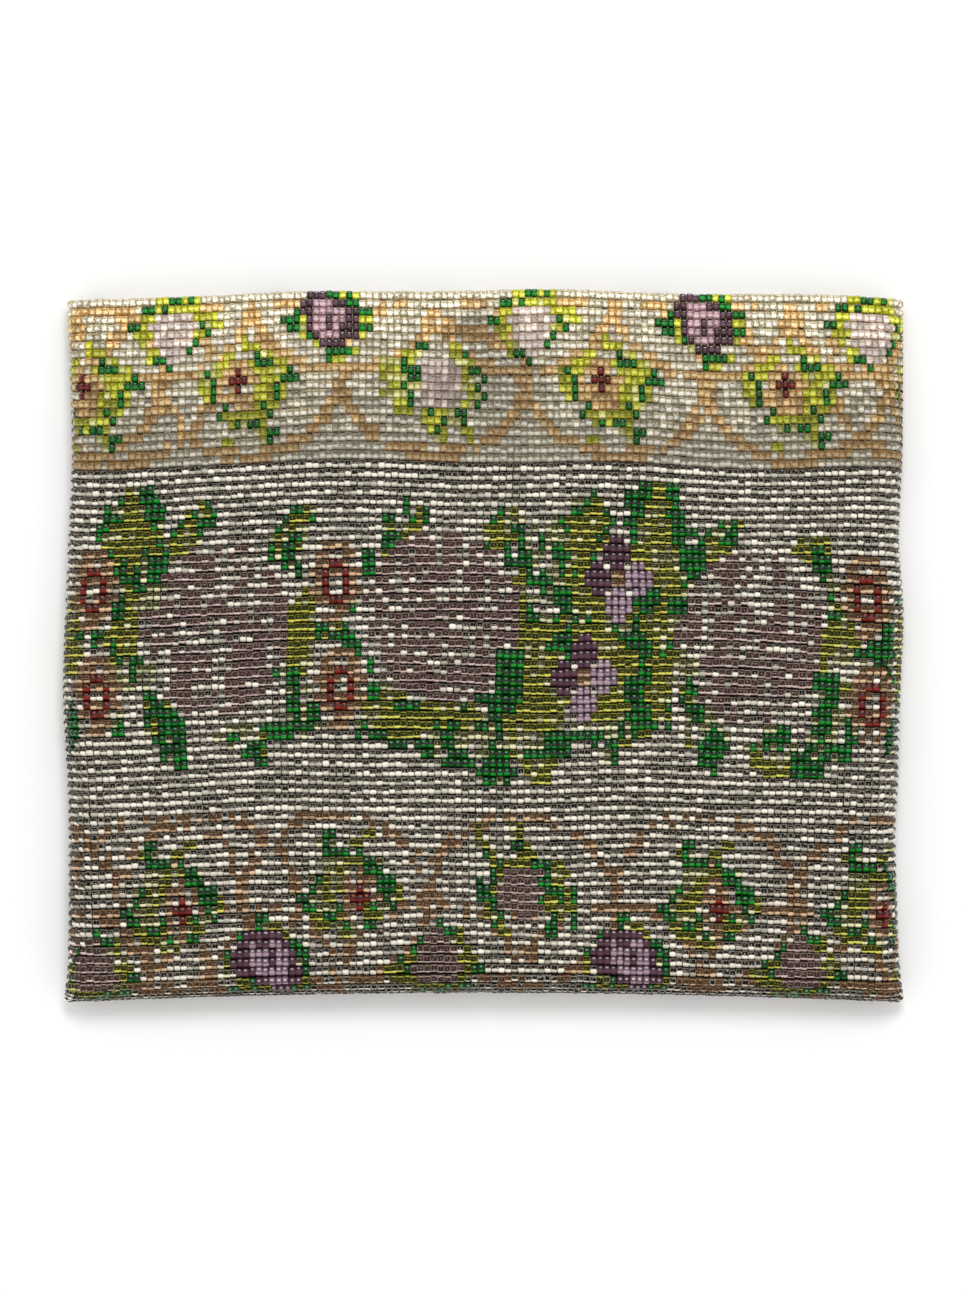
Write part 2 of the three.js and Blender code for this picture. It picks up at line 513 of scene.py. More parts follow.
# Pale fields and green clumps, where they lie on the chart: middle column and row, half width and height
PALE_FIELDS = (
    (-48.8, 33.5, 2.2, 2.5), (-50.5, 43, 3.5, 1.6), (-36, 50, 3.4, 1.6), (-26, 47.5, 2.6, 2.8),
    (9.5, 31.5, 3.2, 6.5), (-2, 51, 10, 1.3), (8, 51, 4, 1.4), (17, 49.3, 4, 1.2), (33.5, 49.5, 2.6, 2.8),
    (46.5, 51, 4.4, 2), (52.5, 47, 2.4, 3.5), (54.5, 41.8, 3, 2.2), (30.5, 42.5, 2, 2.2),
)
GREEN_CLUMPS = (
    (-55, 24.4, 1.9, 1.2), (-56.5, 26.6, 0.7, 1.4), (-50, 23.1, 1.3, 1.2), (-49.2, 24.3, 1.3, 1.2),
    (-48.5, 25.8, 0.7, 1.3), (-41.3, 25.4, 1.9, 1.1), (-55.5, 29.2, 0.8, 0.8), (-50, 29.5, 1.1, 1),
    (-48.3, 30.5, 1.8, 0.9), (-46.8, 29.4, 0.9, 0.8), (-53.5, 31.1, 0.8, 2.2), (-50.3, 32, 2.6, 1.1),
    (-53.2, 34.4, 1.2, 2.2), (-28.3, 29.4, 1.2, 2.3), (-26.8, 31.5, 0.8, 1.2), (-26, 26.8, 0.7, 0.8),
    (-59.5, 38, 1.3, 0.8), (-56.3, 37.8, 1.4, 1.4), (-55, 38.8, 1, 0.8), (-54, 41, 1.1, 2.2),
    (-50.5, 42.3, 1.2, 1.6), (-60.8, 47.8, 1.8, 2.2), (-61.8, 50, 0.9, 1.2), (-53.5, 48.2, 0.7, 1.8),
    (-32.8, 51.6, 1.4, 1.6), (-36.3, 50, 1, 0.9), (-27.8, 44, 1, 2), (-27.5, 46.4, 1.3, 1.6),
    (-29.3, 49.2, 2.8, 1), (-30.8, 50, 1.2, 0.8), (-24.8, 49, 1.3, 0.9), (-24.3, 47.4, 1.2, 1.3),
    (-28.8, 42.8, 1.5, 0.8), (-25.8, 48, 1.6, 0.9), (-23, 38.5, 1.8, 0.8), (-20.7, 37.8, 0.8, 1.3),
    (-20, 39.4, 0.8, 0.8),
    (-13.3, 27.5, 1.3, 2), (-10.8, 24.7, 0.7, 1.2), (-16.6, 31, 1.1, 1.3), (-18.9, 35.7, 0.7, 1.3),
    (-19.6, 39.7, 0.8, 2.2), (-18, 40.7, 0.8, 1.2), (-15.9, 42.3, 0.7, 1), (4.5, 42, 2.1, 1.7),
    (5, 44.7, 2, 1.6), (3.5, 43.5, 0.9, 2.2), (1.4, 46.1, 2.4, 0.9), (2.5, 48.1, 1.1, 1.5),
    (0.5, 48.8, 0.8, 1), (4.8, 46.6, 0.9, 1), (-18, 49.1, 1.5, 1.1), (-19.1, 47.5, 0.8, 0.8),
    (-15.3, 45.6, 0.8, 1.5), (-14.6, 50.2, 1.6, 0.8), (-11.6, 51.2, 1.5, 0.7), (-7.6, 51.1, 1.5, 1),
    (-3.8, 50.2, 1.5, 1.6), (-2.9, 52.9, 2.6, 1), (2.4, 54, 2.8, 1.5), (3, 51.4, 1.6, 1.5),
    (9, 52.1, 2.2, 0.8), (10.9, 50.2, 1.6, 1), (11.9, 51.4, 1.6, 1.1), (13.5, 49.9, 2.2, 0.8),
    (17, 50.2, 1.7, 0.8), (19.4, 51.9, 0.8, 1.7), (-10.5, 47, 1.6, 0.8), (-5.9, 49.1, 0.7, 0.8),
    (-1.9, 47, 0.7, 0.7),
    (4.8, 26.2, 1.2, 1.2), (6.2, 27.3, 0.8, 0.8), (4.4, 30.7, 0.7, 1.2), (8.9, 28.6, 0.8, 1.2),
    (6.3, 30.4, 0.8, 1.6), (7, 32.2, 0.8, 1.1), (9, 33, 1.4, 1.2), (11.5, 29.4, 1.2, 1.2),
    (11.9, 31.4, 0.8, 0.8), (12, 34.8, 1.6, 1.4), (13.2, 36.5, 1.2, 1.6), (10.9, 36.9, 0.7, 0.8),
    (15.4, 36.5, 0.7, 1.8), (7.2, 36, 0.7, 1.5), (8.4, 37.2, 0.8, 0.7), (19.9, 26.2, 0.8, 0.8),
    (22.5, 23.7, 1.5, 0.8), (24.5, 22.8, 1.2, 1.2), (14.5, 24.6, 0.7, 1), (12, 26.4, 1, 0.8),
    (24.7, 34.7, 1.9, 1.4), (21, 38.1, 1.1, 1.8), (22.9, 39.5, 1.2, 0.8), (12.2, 39.9, 2.6, 1.1),
    (12.8, 41.2, 1.6, 0.8), (22.5, 45.7, 1.1, 2.2), (23.5, 48, 2.5, 1.6), (24.9, 41.9, 1.1, 2.4),
    (21.9, 49.6, 1.8, 0.9), (29, 23.2, 0.8, 1.2), (29.4, 25.1, 1.5, 1.1), (29.9, 27.1, 1.1, 1.7),
    (31.6, 27.1, 0.7, 1), (31.8, 30.2, 1.9, 2), (29.8, 32.4, 0.8, 3.2), (29, 35.6, 1.5, 1),
    (22.8, 26, 1, 1.4), (23.9, 44.9, 1.1, 2.6), (25.2, 48, 1.5, 1.3), (28, 46.4, 0.8, 0.8),
    (28.3, 48.3, 0.7, 1),
    (37.3, 27.4, 1.4, 1.8), (50.8, 30.4, 1.7, 1.8), (52.3, 32.9, 0.8, 1.2), (52.5, 35.2, 0.7, 1.4),
    (62.9, 33.6, 0.8, 1.4), (60.8, 36.8, 1.2, 1.3), (60, 38.7, 2.3, 1), (60.2, 40.4, 2, 1.1),
    (57.5, 39.8, 1.6, 0.8), (61, 42.8, 1.4, 0.8), (61.7, 49.8, 1, 1.9), (31, 45.6, 1.1, 1.9),
    (31.9, 47.1, 1.6, 1.3), (35.3, 48.8, 0.8, 0.8), (35.4, 50.4, 1.8, 1.9), (33.3, 51.5, 0.8, 1.4),
    (33.9, 52.8, 1, 1), (35, 53.6, 0.8, 1.2), (50.4, 43.7, 1.2, 1.1), (52.6, 44.1, 1.1, 1.8),
    (52, 45.9, 1.1, 1.4), (51, 48.6, 1.5, 2.6), (49.5, 51.9, 2.6, 1), (48.2, 53.1, 2, 1.3),
    (50.8, 53.6, 1.1, 1.3), (53.5, 51.4, 1.9, 1.2), (55.3, 49.5, 1, 1.7), (44.8, 49.6, 2.4, 1),
    (44, 50.7, 1.3, 0.7), (40.5, 50.8, 0.7, 1),
)


def chart_grids(rows):
    """Column from the front's middle and row from the mouth, for each bead of the chart."""
    return np.meshgrid(np.arange(ROUND) - MIDDLE, np.arange(rows))


def away(columns, middle):
    """Columns to the right of a middle column, counted the short way round the pouch."""
    return (columns - middle + ROUND / 2) % ROUND - ROUND / 2


def stamp(chart, motif, middle, top):
    """Lays a small charted motif on the chart. Dots leave what is there."""
    first = MIDDLE + middle - len(motif[0]) // 2
    for number, row in enumerate(motif):
        for place, letter in enumerate(row):
            if letter != "." and 0 <= top + number < len(chart):
                chart[top + number, (first + place) % ROUND] = LETTERS.index(letter)


def draw_oval(chart, grids, colour, middle, row, half_width, half_height):
    """Beads inside an ellipse."""
    columns, rows = grids
    inside = (away(columns, middle) / half_width) ** 2 + ((rows - row) / half_height) ** 2 <= 1
    chart[inside] = colour


def draw_scallop(chart, grids, middle, row, half_width, first, last):
    """Gold beads along an ellipse, one to two beads wide, from a first to a last row."""
    columns, rows = grids
    reach = np.hypot(away(columns, middle) / half_width, (rows - row) / SCALLOP_DEPTH)
    line = np.abs(reach - 1) * SCALLOP_DEPTH < SCALLOP_HALF_LINE
    chart[line & (rows >= first) & (rows <= last)] = GOLD


def draw_leaf(chart, grids, tip, base, half_width, body):
    """A leaf from its tip to its base: as wide across its line as a power of the sine of the way along it,
    with a broken line of green beads on its edge."""
    columns, rows = grids
    start = np.array([tip[0] * COLUMN_PITCH, tip[1] * ROW_PITCH])
    line = np.array([base[0] * COLUMN_PITCH, base[1] * ROW_PITCH]) - start
    length = np.hypot(*line)
    right = away(columns, tip[0]) * COLUMN_PITCH
    down = (rows - tip[1]) * ROW_PITCH
    share = (right * line[0] + down * line[1]) / length ** 2
    aside = np.abs(right * line[1] - down * line[0]) / length
    width = half_width * COLUMN_PITCH * np.sin(np.pi * np.clip(share * 0.92 + 0.06, 0, 1)) ** 0.7
    inside = (share > -0.02) & (share < 1.02) & (aside <= width)
    rim = inside & (aside > width - 1.7) & ((columns + 2 * rows) % 5 > 1)
    chart[inside] = body
    chart[rim] = GREEN


def draw_stroke(chart, grids, colour, stops, thickness):
    """Beads within half a thickness, in rows, of a line from stop to stop."""
    columns, rows = grids
    for (start_column, start_row), (end_column, end_row) in zip(stops, stops[1:]):
        line = np.array([(end_column - start_column) * COLUMN_PITCH, (end_row - start_row) * ROW_PITCH])
        right = away(columns, start_column) * COLUMN_PITCH
        down = (rows - start_row) * ROW_PITCH
        share = np.clip((right * line[0] + down * line[1]) / (line @ line), 0, 1)
        gap = np.hypot(right - share * line[0], down - share * line[1])
        chart[gap <= thickness * ROW_PITCH / 2] = colour


def sprinkle(chart, draws, ground, colour, share, where=True):
    """Swaps a share of the beads of one colour for another, by fixed random draws."""
    chart[(chart == ground) & (draws < share) & where] = colour


def chart_borders(chart, grids, offset):
    """Scallops and flowers along the mouth, and scallops turned half round with their own flowers along
    the bottom."""
    for spacing, firsts, reach in (TOP_BORDER, LOW_BORDER):
        for number in range(SCALLOPS):
            for column, row in firsts:
                middle = offset + spacing * number + column
                draw_scallop(chart, grids, middle, row, spacing / 2, *reach)
    drawn = [(column + offset, row) for column, row in DRAWN_SCALLOP]
    draw_stroke(chart, grids, GOLD, drawn, DRAWN_THICKNESS)
    for motif, middle, top in TOP_FLOWERS + LOW_FLOWERS:
        stamp(chart, motif, middle + offset, top)


def chart_garland(chart, grids, offset):
    """Lime fields and leaves first, then the ovals, the pale fields, the green clumps and the flowers."""
    def hung(column, row):
        """A place of the garland, moved and lowered with the whole of it."""
        return column + GARLAND_RIGHT + offset, row + np.interp(column, *GARLAND_HANG)
    for column, row, *sizes in LIME_FIELDS:
        draw_oval(chart, grids, LIME, *hung(column, row), *sizes)
    draw_stroke(chart, grids, LIME, [hung(*stop) for stop in HANGING_BAND], BAND_THICKNESS)
    for tip, base, half_width, body in LEAVES:
        draw_leaf(chart, grids, hung(*tip), hung(*base), half_width, body)
    for column, row, *sizes in OVALS:
        draw_oval(chart, grids, MAUVE, *hung(column, row), *sizes)
    for colour, fields in ((PALE_LIME, PALE_FIELDS), (GREEN, GREEN_CLUMPS)):
        for column, *sizes in fields:
            draw_oval(chart, grids, colour, column + offset, *sizes)
    for motif, places in ((RING_FLOWER, RING_FLOWERS), (PANSY, PANSIES)):
        for place in places:
            column, row = hung(*place)
            stamp(chart, motif, round(column), round(row))


def bead_chart(rows, random):
    """The whole chart: a clear ground, the garland and the borders on the front and again on the back,
    and the odd beads that a hand-strung piece has."""
    chart = np.full((rows, ROUND), CLEAR)
    grids = chart_grids(rows)
    for offset in (ROUND // 2, 0):
        chart_garland(chart, grids, offset)
        chart_borders(chart, grids, offset)
    before, after = GARLAND_ROWS
    in_garland = (grids[1] > before) & (grids[1] < after)
    draws = random.random(chart.shape)
    bands = np.clip(slow_waves(random, chart.shape, (0.7, 4)), 0, 2)
    stripes = np.clip(slow_waves(random, chart.shape, (3, 0.7)), 0, 2)
    for ground, colour, share, by_bands, by_stripes in ODD_BEADS:
        sprinkle(chart, draws, ground, colour, share + by_bands * bands + by_stripes * stripes, in_garland)
    sprinkle(chart, draws, LIME, PALE_LIME, 0.1 + 0.14 * bands)
    sprinkle(chart, draws, GOLD, CLEAR, np.where(grids[1] < after, 0.1, 0.3))
    return chart


# Meshes from whole arrays

# The beads' map is a grid of tiles: 24 beads that differ a little, over four tones of backing,
# from the dark lining through the facing in painted shade to the facing in painted light at the lip
TILES = (24, 4)
TILE_MARGIN = 0.04


def mesh_piece(name, vertices, face_sizes, corners, corner_map, material):
    """A smooth mesh object from its vertices in millimetres, the number of corners of each face, the
    vertex of each corner and the place of each corner on the piece's own map."""
    mesh = bpy.data.meshes.new(name)
    mesh.vertices.add(len(vertices))
    mesh.vertices.foreach_set("co", (vertices * MM).astype(np.float32).ravel())
    mesh.loops.add(len(corners))
    mesh.loops.foreach_set("vertex_index", corners.astype(np.int32))
    mesh.polygons.add(len(face_sizes))
    starts = np.concatenate([[0], np.cumsum(face_sizes)[:-1]])
    mesh.polygons.foreach_set("loop_start", starts.astype(np.int32))
    mesh.update(calc_edges=True)
    for map_name in ("Surface", "OFBake"):
        layer = mesh.uv_layers.new(name=map_name)
        layer.data.foreach_set("uv", corner_map.astype(np.float32).ravel())
    mesh.validate()
    mesh.shade_smooth()
    mesh.materials.append(material)
    piece = bpy.data.objects.new(name, mesh)
    bpy.context.scene.collection.objects.link(piece)
    return piece


def bead_template(rings, sides):
    """One bead turned round its hole: rings are (place along, radius) shares of half its length and of
    its radius. Gives its vertices as (along, outward, up) shares, and its faces with their map: bands of
    four-cornered faces between the rings, and a flat face on each end. The map's first value goes along
    the bead and its second round it, from inwards by the low side, outwards and the high side."""
    turns = np.arange(sides) / sides
    angle = 2 * np.pi * (turns - 0.5)
    place, radius = np.array(rings).T
    along = np.repeat(place, sides)
    outward = (radius[:, None] * np.cos(angle)).ravel()
    up = (radius[:, None] * np.sin(angle)).ravel()
    ring, side = np.meshgrid(np.arange(len(rings) - 1), np.arange(sides), indexing="ij")
    after = (side + 1) % sides
    rings_of_band = np.stack([ring, ring + 1, ring + 1, ring], -1)
    bands = rings_of_band * sides + np.stack([side, side, after, after], -1)
    band_u = ((place + 1) / 2)[rings_of_band]
    band_v = np.stack([side, side, side + 1, side + 1], -1) / sides
    low_end = np.arange(sides)[::-1]
    high_end = np.arange(sides) + (len(rings) - 1) * sides
    sizes = np.concatenate([np.full(bands.size // 4, 4), [sides, sides]])
    corners = np.concatenate([bands.ravel(), low_end, high_end])
    end_u = np.repeat([0.0, 1.0], sides)
    end_v = np.concatenate([turns[::-1], turns])
    u = np.concatenate([band_u.ravel(), end_u])
    v = np.concatenate([band_v.ravel(), end_v])
    return np.stack([along, outward, up], -1), sizes, corners, np.stack([u, v], -1)


def repeat_template(template, frames, half_lengths, radii, tiles):
    """Joined copies of a bead: each vertex is the bead's place plus its shares of half the bead's length
    along the row and of its radius outwards and up. Each copy's map lies in one tile of a grid."""
    shares, sizes, corners, corner_map = template
    place, along, up, outward = frames
    count = len(place)
    vertices = (
        place[:, None]
        + along[:, None] * (shares[None, :, :1] * half_lengths[:, None, None])
        + outward[:, None] * (shares[None, :, 1:2] * radii[:, None, None])
        + up[:, None] * (shares[None, :, 2:] * radii[:, None, None])
    )
    all_corners = corners[None] + len(shares) * np.arange(count)[:, None]
    inside_tile = TILE_MARGIN + (1 - 2 * TILE_MARGIN) * corner_map
    all_map = (tiles[:, None] + inside_tile[None]) / np.array(TILES)
    return vertices.reshape(-1, 3), np.tile(sizes, count), all_corners.ravel(), all_map.reshape(-1, 2)


# The beads of the front, of its mouth, of its side edges, where the holes show, and of the back
EDGE_RINGS = [(-0.7, 0.28), (-0.97, 0.36), (-1, 0.62), (-0.6, 0.98)]
FRONT_BEAD = bead_template([(-1, 0.78), (-0.66, 1), (0.66, 1), (1, 0.78)], 7)
FACED_BEAD = bead_template([(-1, 0.84), (-0.7, 1), (0.7, 1), (1, 0.84)], 7)
EDGE_BEAD = bead_template(EDGE_RINGS + [(-place, radius) for place, radius in EDGE_RINGS[::-1]], 7)
BACK_BEAD = bead_template([(-1, 0.68), (0, 1), (1, 0.68)], 6)


def backing_tone_with_painted_light(points, rise):
    """How pale what shows through the beads is: none over the lining, and over the facing a painted light
    that grows from the facing's lower edge to the lip, less the painted shade in the hollows of the dents
    that the snap draws."""
    up = up_at(rise)
    share = np.clip((up - FACING_START) / (SIDE_LENGTH - FACING_START), 0, 1)
    # Painted light: the tone grows towards the lip and is a painted shade near the facing's lower edge
    tone = 0.8 + 2.4 * share ** 1.2
    # Painted shade in the dent's hollows
    for *where, shade_loss in PAINTED_DENT_SHADE:
        tone = tone * (1 - shade_loss * bell(points[..., 0], up, *where))
    return np.where(up > FACING_START, tone, 0)


def panel_beads(rises, columns, is_front, chart, random):
    """Every bead of a panel as flat arrays: its colour, frame, half length, radius, map tile, column and
    row. Beads differ a little in size, place and lean. Lime and mauve ones and those over the facing lie
    closer, those on the turned sides are longer, and the front's grow with the spacing of its rows."""
    across = column_acrosses(rises, columns, BEAD_INSET, is_front)
    rise = np.repeat(rises[:, None], columns, 1)
    place, along, up, outward = panel_frames(across, rise, BEAD_INSET, is_front)
    shape = across.shape
    row = np.broadcast_to(np.arange(shape[0])[:, None], shape)
    column = np.broadcast_to(np.arange(columns), shape)
    drift = DRIFT_WAVE * slow_waves(random, shape, DRIFT_REACH) + random.normal(0, DRIFT_SPREAD, shape)
    sway = SWAY_WAVE * slow_waves(random, shape, SWAY_REACH)
    sway = sway + SLOW_SWAY_WAVE * slow_waves(random, shape, SLOW_SWAY_REACH)
    steadier = np.clip((shape[0] - 1 - row) / STEADIER_ROWS, 0, 1)
    sway = sway * steadier + random.normal(0, SWAY_SPREAD, shape)
    place = place + along * drift[..., None] + up * sway[..., None]
    lean = random.normal(0, LEAN_SPREAD, shape + (2,))
    along = unit(along + up * lean[..., :1] + outward * lean[..., 1:])
    up = unit(np.cross(outward, along))
    outward = np.cross(along, up)
    spin = random.normal(0, SPIN_SPREAD, shape + (1,))
    up, outward = up * np.cos(spin) + outward * np.sin(spin), outward * np.cos(spin) - up * np.sin(spin)
    half_lengths = BEAD_LENGTH / 2 * random.normal(1, LENGTH_SPREAD, shape)
    radii = BEAD_RADIUS * np.minimum(random.normal(RADIUS_MEAN, RADIUS_SPREAD, shape), RADIUS_LIMIT)
    tone = backing_tone_with_painted_light(place, rise)
    tone_row = np.clip(np.floor(tone + random.random(shape)), 0, TILES[1] - 1)
    tone_row = np.where(tone > 0, np.maximum(tone_row, 1), 0)
    tiles = np.stack([random.integers(0, TILES[0], shape), tone_row], -1)
    colour = chart[row, column if is_front else ROUND - 1 - column]
    faced = (tone > 0) & np.isin(colour, SEE_THROUGH)
    half_lengths = half_lengths * np.where(faced | np.isin(colour, (LIME, MAUVE)), CLOSE_LENGTH, 1)
    half_lengths = half_lengths * np.where(np.minimum(across, 3 - across) < 1, TURNED_LENGTH, 1)
    if is_front:
        radii = radii * np.where(faced, FACED_RADIUS, 1) * (1 + ROW_PITCH_GROWTH / ROW_PITCH * row)
    return {
        "colour": colour.ravel(),
        "frames": tuple(part.reshape(-1, 3) for part in (place, along, up, outward)),
        "half_lengths": half_lengths.ravel(),
        "radii": radii.ravel(),
        "tiles": tiles.reshape(-1, 2),
        "column": column.ravel(),
        "row": row.ravel(),
        "faced": faced.ravel(),
        "shape": shape,
    }


def join_parts(parts):
    """Several sets of vertices, face sizes, corners and map as one."""
    counts = np.cumsum([0] + [len(part[0]) for part in parts[:-1]])
    corners = [part[2] + count for part, count in zip(parts, counts)]
    vertices, sizes, _, corner_map = (np.concatenate(column) for column in zip(*parts))
    return vertices, sizes, np.concatenate(corners), corner_map


def bead_piece(name, beads, chosen, templates, material):
    """One joined piece of the chosen beads: each template goes with the beads that its test picks."""
    parts = []
    for template, picked in templates:
        which = np.flatnonzero(chosen & picked)
        if len(which):
            frames = tuple(part[which] for part in beads["frames"])
            sizes = (beads["half_lengths"][which], beads["radii"][which])
            parts.append(repeat_template(template, frames, *sizes, beads["tiles"][which]))
    return mesh_piece(name, *join_parts(parts), material)


# Materials

# The painted shade between two rows, where it shows through the pale beads of the mouth
PAINTED_ROW_SHADE = (64, 52, 36)


def linear(colour):
    """A colour of 0 to 255 steps on the screen, as the light that it stands for."""
    screen = np.array(colour) / 255
    light = np.where(screen <= 0.04045, screen / 12.92, ((screen + 0.055) / 1.055) ** 2.4)
    return (*light.tolist(), 1.0)


def feed(tree, socket, value):
    """Links an output to a socket, or sets the socket's own value."""
    if isinstance(value, bpy.types.NodeSocket):
        tree.links.new(value, socket)
    else:
        socket.default_value = value


def settle(node, values):
    """Sets a node's own socket values, by the sockets' names."""
    for name, value in values.items():
        node.inputs[name].default_value = value


def maths(tree, operation, first, second=0.0, third=0.0):
    """One step of arithmetic on node values."""
    node = tree.nodes.new("ShaderNodeMath")
    node.operation = operation
    for socket, value in zip(node.inputs, (first, second, third)):
        feed(tree, socket, value)
    return node.outputs[0]


def ramp(tree, factor, stops):
    """Colours by place along a ramp: stops are (place, colour)."""
    node = tree.nodes.new("ShaderNodeValToRGB")
    elements = node.color_ramp.elements
    elements.remove(elements[1])
    elements[0].position = stops[0][0]
    elements[0].color = linear(stops[0][1])
    for place, colour in stops[1:]:
        elements.new(place).color = linear(colour)
    feed(tree, node.inputs["Fac"], factor)
    return node.outputs["Color"]


def mix(tree, factor, first, second, blend="MIX"):
    """Two colours mixed by a factor."""
    node = tree.nodes.new("ShaderNodeMix")
    node.data_type = "RGBA"
    node.blend_type = blend
    feed(tree, node.inputs["Factor"], factor)
    feed(tree, node.inputs[6], first)
    feed(tree, node.inputs[7], second)
    return node.outputs[2]


def new_material(name):
    """An empty node material with a Principled shader, and its tree and shader."""
    material = bpy.data.materials.new(name)
    material.use_nodes = True
    tree = material.node_tree
    return material, tree, tree.nodes["Principled BSDF"]


def surface_map(tree):
    """The two values of the piece's own map."""
    node = tree.nodes.new("ShaderNodeUVMap")
    node.uv_map = "Surface"
    split = tree.nodes.new("ShaderNodeSeparateXYZ")
    tree.links.new(node.outputs["UV"], split.inputs[0])
    return split.outputs[0], split.outputs[1]


def tile_place(tree, value, count):
    """Which tile a map value lies in, and how far across that tile."""
    scaled = maths(tree, "MULTIPLY", value, count)
    tile = maths(tree, "FLOOR", scaled)
    within = maths(tree, "SUBTRACT", scaled, tile)
    share = maths(tree, "DIVIDE", maths(tree, "SUBTRACT", within, TILE_MARGIN), 1 - 2 * TILE_MARGIN)
    return tile, share


def spread(tree, value, low, high, end=1.0):
    """A smooth step from 0 at the low value to an end value at the high one."""
    node = tree.nodes.new("ShaderNodeMapRange")
    node.interpolation_type = "SMOOTHSTEP"
    settle(node, {"From Min": low, "From Max": high, "To Max": end})
    feed(tree, node.inputs["Value"], value)
    return node.outputs[0]


def pair_of(tree, first, second):
    """Two values as a vector."""
    node = tree.nodes.new("ShaderNodeCombineXYZ")
    feed(tree, node.inputs[0], first)
    feed(tree, node.inputs[1], second)
    return node.outputs[0]


def tile_chances(tree, variant, tone):
    """Three random values for each tile of the beads' map."""
    chance = tree.nodes.new("ShaderNodeTexWhiteNoise")
    chance.noise_dimensions = "2D"
    feed(tree, chance.inputs["Vector"], pair_of(tree, variant, tone))
    split = tree.nodes.new("ShaderNodeSeparateColor")
    feed(tree, split.inputs[0], chance.outputs["Color"])
    return split.outputs


def noise(tree, place, scale, detail, dimensions="3D"):
    """Smooth noise of 0 to 1 at a place."""
    node = tree.nodes.new("ShaderNodeTexNoise")
    node.noise_dimensions = dimensions
    settle(node, {"Scale": scale, "Detail": detail})
    feed(tree, node.inputs["Vector"], place)
    return node.outputs["Fac"]


def grain_of(tree, scale, detail):
    """Smooth noise in the space of the object."""
    return noise(tree, tree.nodes.new("ShaderNodeTexCoord").outputs["Object"], scale, detail)


def streak_noise(tree, variant, along, around):
    """Fine streaks along the bead, different for each tile."""
    shifted = maths(tree, "MULTIPLY_ADD", variant, 3.7, along)
    place = pair_of(tree, shifted, maths(tree, "MULTIPLY", around, 3.0))
    return noise(tree, place, 4.0, 1.5, "2D")


def times(tree, colour, value):
    """A colour made brighter or darker by a value."""
    grey = tree.nodes.new("ShaderNodeCombineColor")
    for socket in grey.inputs:
        feed(tree, socket, value)
    return mix(tree, 1.0, colour, grey.outputs[0], "MULTIPLY")


def varied(tree, chance, low, high):
    """A value between low and high, by a random value of 0 to 1."""
    return maths(tree, "MULTIPLY_ADD", chance, high - low, low)


def patch(tree, along, around, middle, half_size, strength=1.0):
    """A rounded patch on a bead, for painted light and for the painted shade of a dash: none outside it and
    soft at its edge, where the fourth powers of the shares of its half length and half height add up to
    one."""
    powers = []
    for value, centre, reach in zip((along, around), middle, half_size):
        share = maths(tree, "DIVIDE", maths(tree, "SUBTRACT", value, centre), reach)
        square = maths(tree, "MULTIPLY", share, share)
        powers.append(maths(tree, "MULTIPLY", square, square))
    return maths(tree, "MULTIPLY", spread(tree, maths(tree, "ADD", *powers), 1.7, 0.3), strength)


def near_ends(tree, along, start, strength):
    """How near a point is to either end of its bead: it grows from a start, as a share of the bead's length
    from its middle, to its full strength a tenth of the length further out."""
    from_middle = maths(tree, "ABSOLUTE", maths(tree, "SUBTRACT", along, 0.5))
    return spread(tree, from_middle, start, start + 0.1, strength)


def over_lining(tree, glass, chances, streaks, along, around):
    """A bead over the dark lining, its light and shade painted into its colour: a dark window in its upper
    half with painted glints, and ends painted paler on see-through glass and darker on opaque glass, a thin
    painted highlight along its upper edge, and in its lower half a painted pillow of the light that it
    gathers, whose size, place and brightness change from bead to bead."""
    height = maths(tree, "MULTIPLY", varied(tree, chances[0], 0.8, 1.2), glass["height"])
    middle = varied(tree, chances[1], glass["middle"] - 0.015, glass["middle"] + 0.015)
    brightness = varied(tree, chances[2], glass["dimmest"], 1.0)
    # Painted light: the pillow, the line along the upper edge and the glints
    painted_pillow = patch(tree, along, around, (0.5, middle), (glass["length"], height), brightness)
    line = patch(tree, along, around, (0.5, 0.665), (0.42, 0.024), glass["high"])
    glint = spread(tree, streaks, 0.62, 0.72, glass["glint"])
    lights = maths(tree, "MAXIMUM", painted_pillow, maths(tree, "MAXIMUM", line, glint))
    # Painted ends: paler on see-through glass, darker on opaque glass
    window = mix(tree, near_ends(tree, along, 0.335, 1.0), glass["window"], glass["end"])
    return mix(tree, lights, window, glass["light"])


def over_facing(tree, glass, chances, streaks, along, around):
    """A bead over the pale facing, its light and shade painted into its colour: streaked glass with ends
    darkened by painted shade, a soft painted blot of light on its middle, a thin painted highlight near its
    upper edge, and on a few beads a dash of painted shade at the lower edge."""
    middle = varied(tree, chances[0], 0.4, 0.6)
    painted_blot_size = (varied(tree, chances[1], 0.24, 0.42), varied(tree, chances[2], 0.05, 0.085))
    painted_blot = patch(tree, along, around, (middle, varied(tree, chances[2], 0.48, 0.43)), painted_blot_size)
    line = patch(tree, along, around, (middle, 0.625), (0.36, 0.022), 0.6)
    glint = spread(tree, streaks, 0.6, 0.68)
    body = mix(tree, spread(tree, streaks, 0.3, 0.6), glass["pale_streak_and_end_shade"], glass["pale"])
    # Painted shade at the bead's ends
    body = mix(tree, near_ends(tree, along, 0.37, 0.8), body, glass["pale_streak_and_end_shade"])
    lights = maths(tree, "MAXIMUM", maths(tree, "MAXIMUM", painted_blot, line), glint)
    body = mix(tree, lights, body, glass["pale_painted_light"])
    # Painted shade: a dash at the lower edge of a few beads
    dashed = spread(tree, chances[0], 0.86, 0.88, 0.85)
    dash = patch(tree, along, around, (0.5, 0.305), (0.42, 0.022), dashed)
    return mix(tree, dash, body, linear(PAINTED_ROW_SHADE))


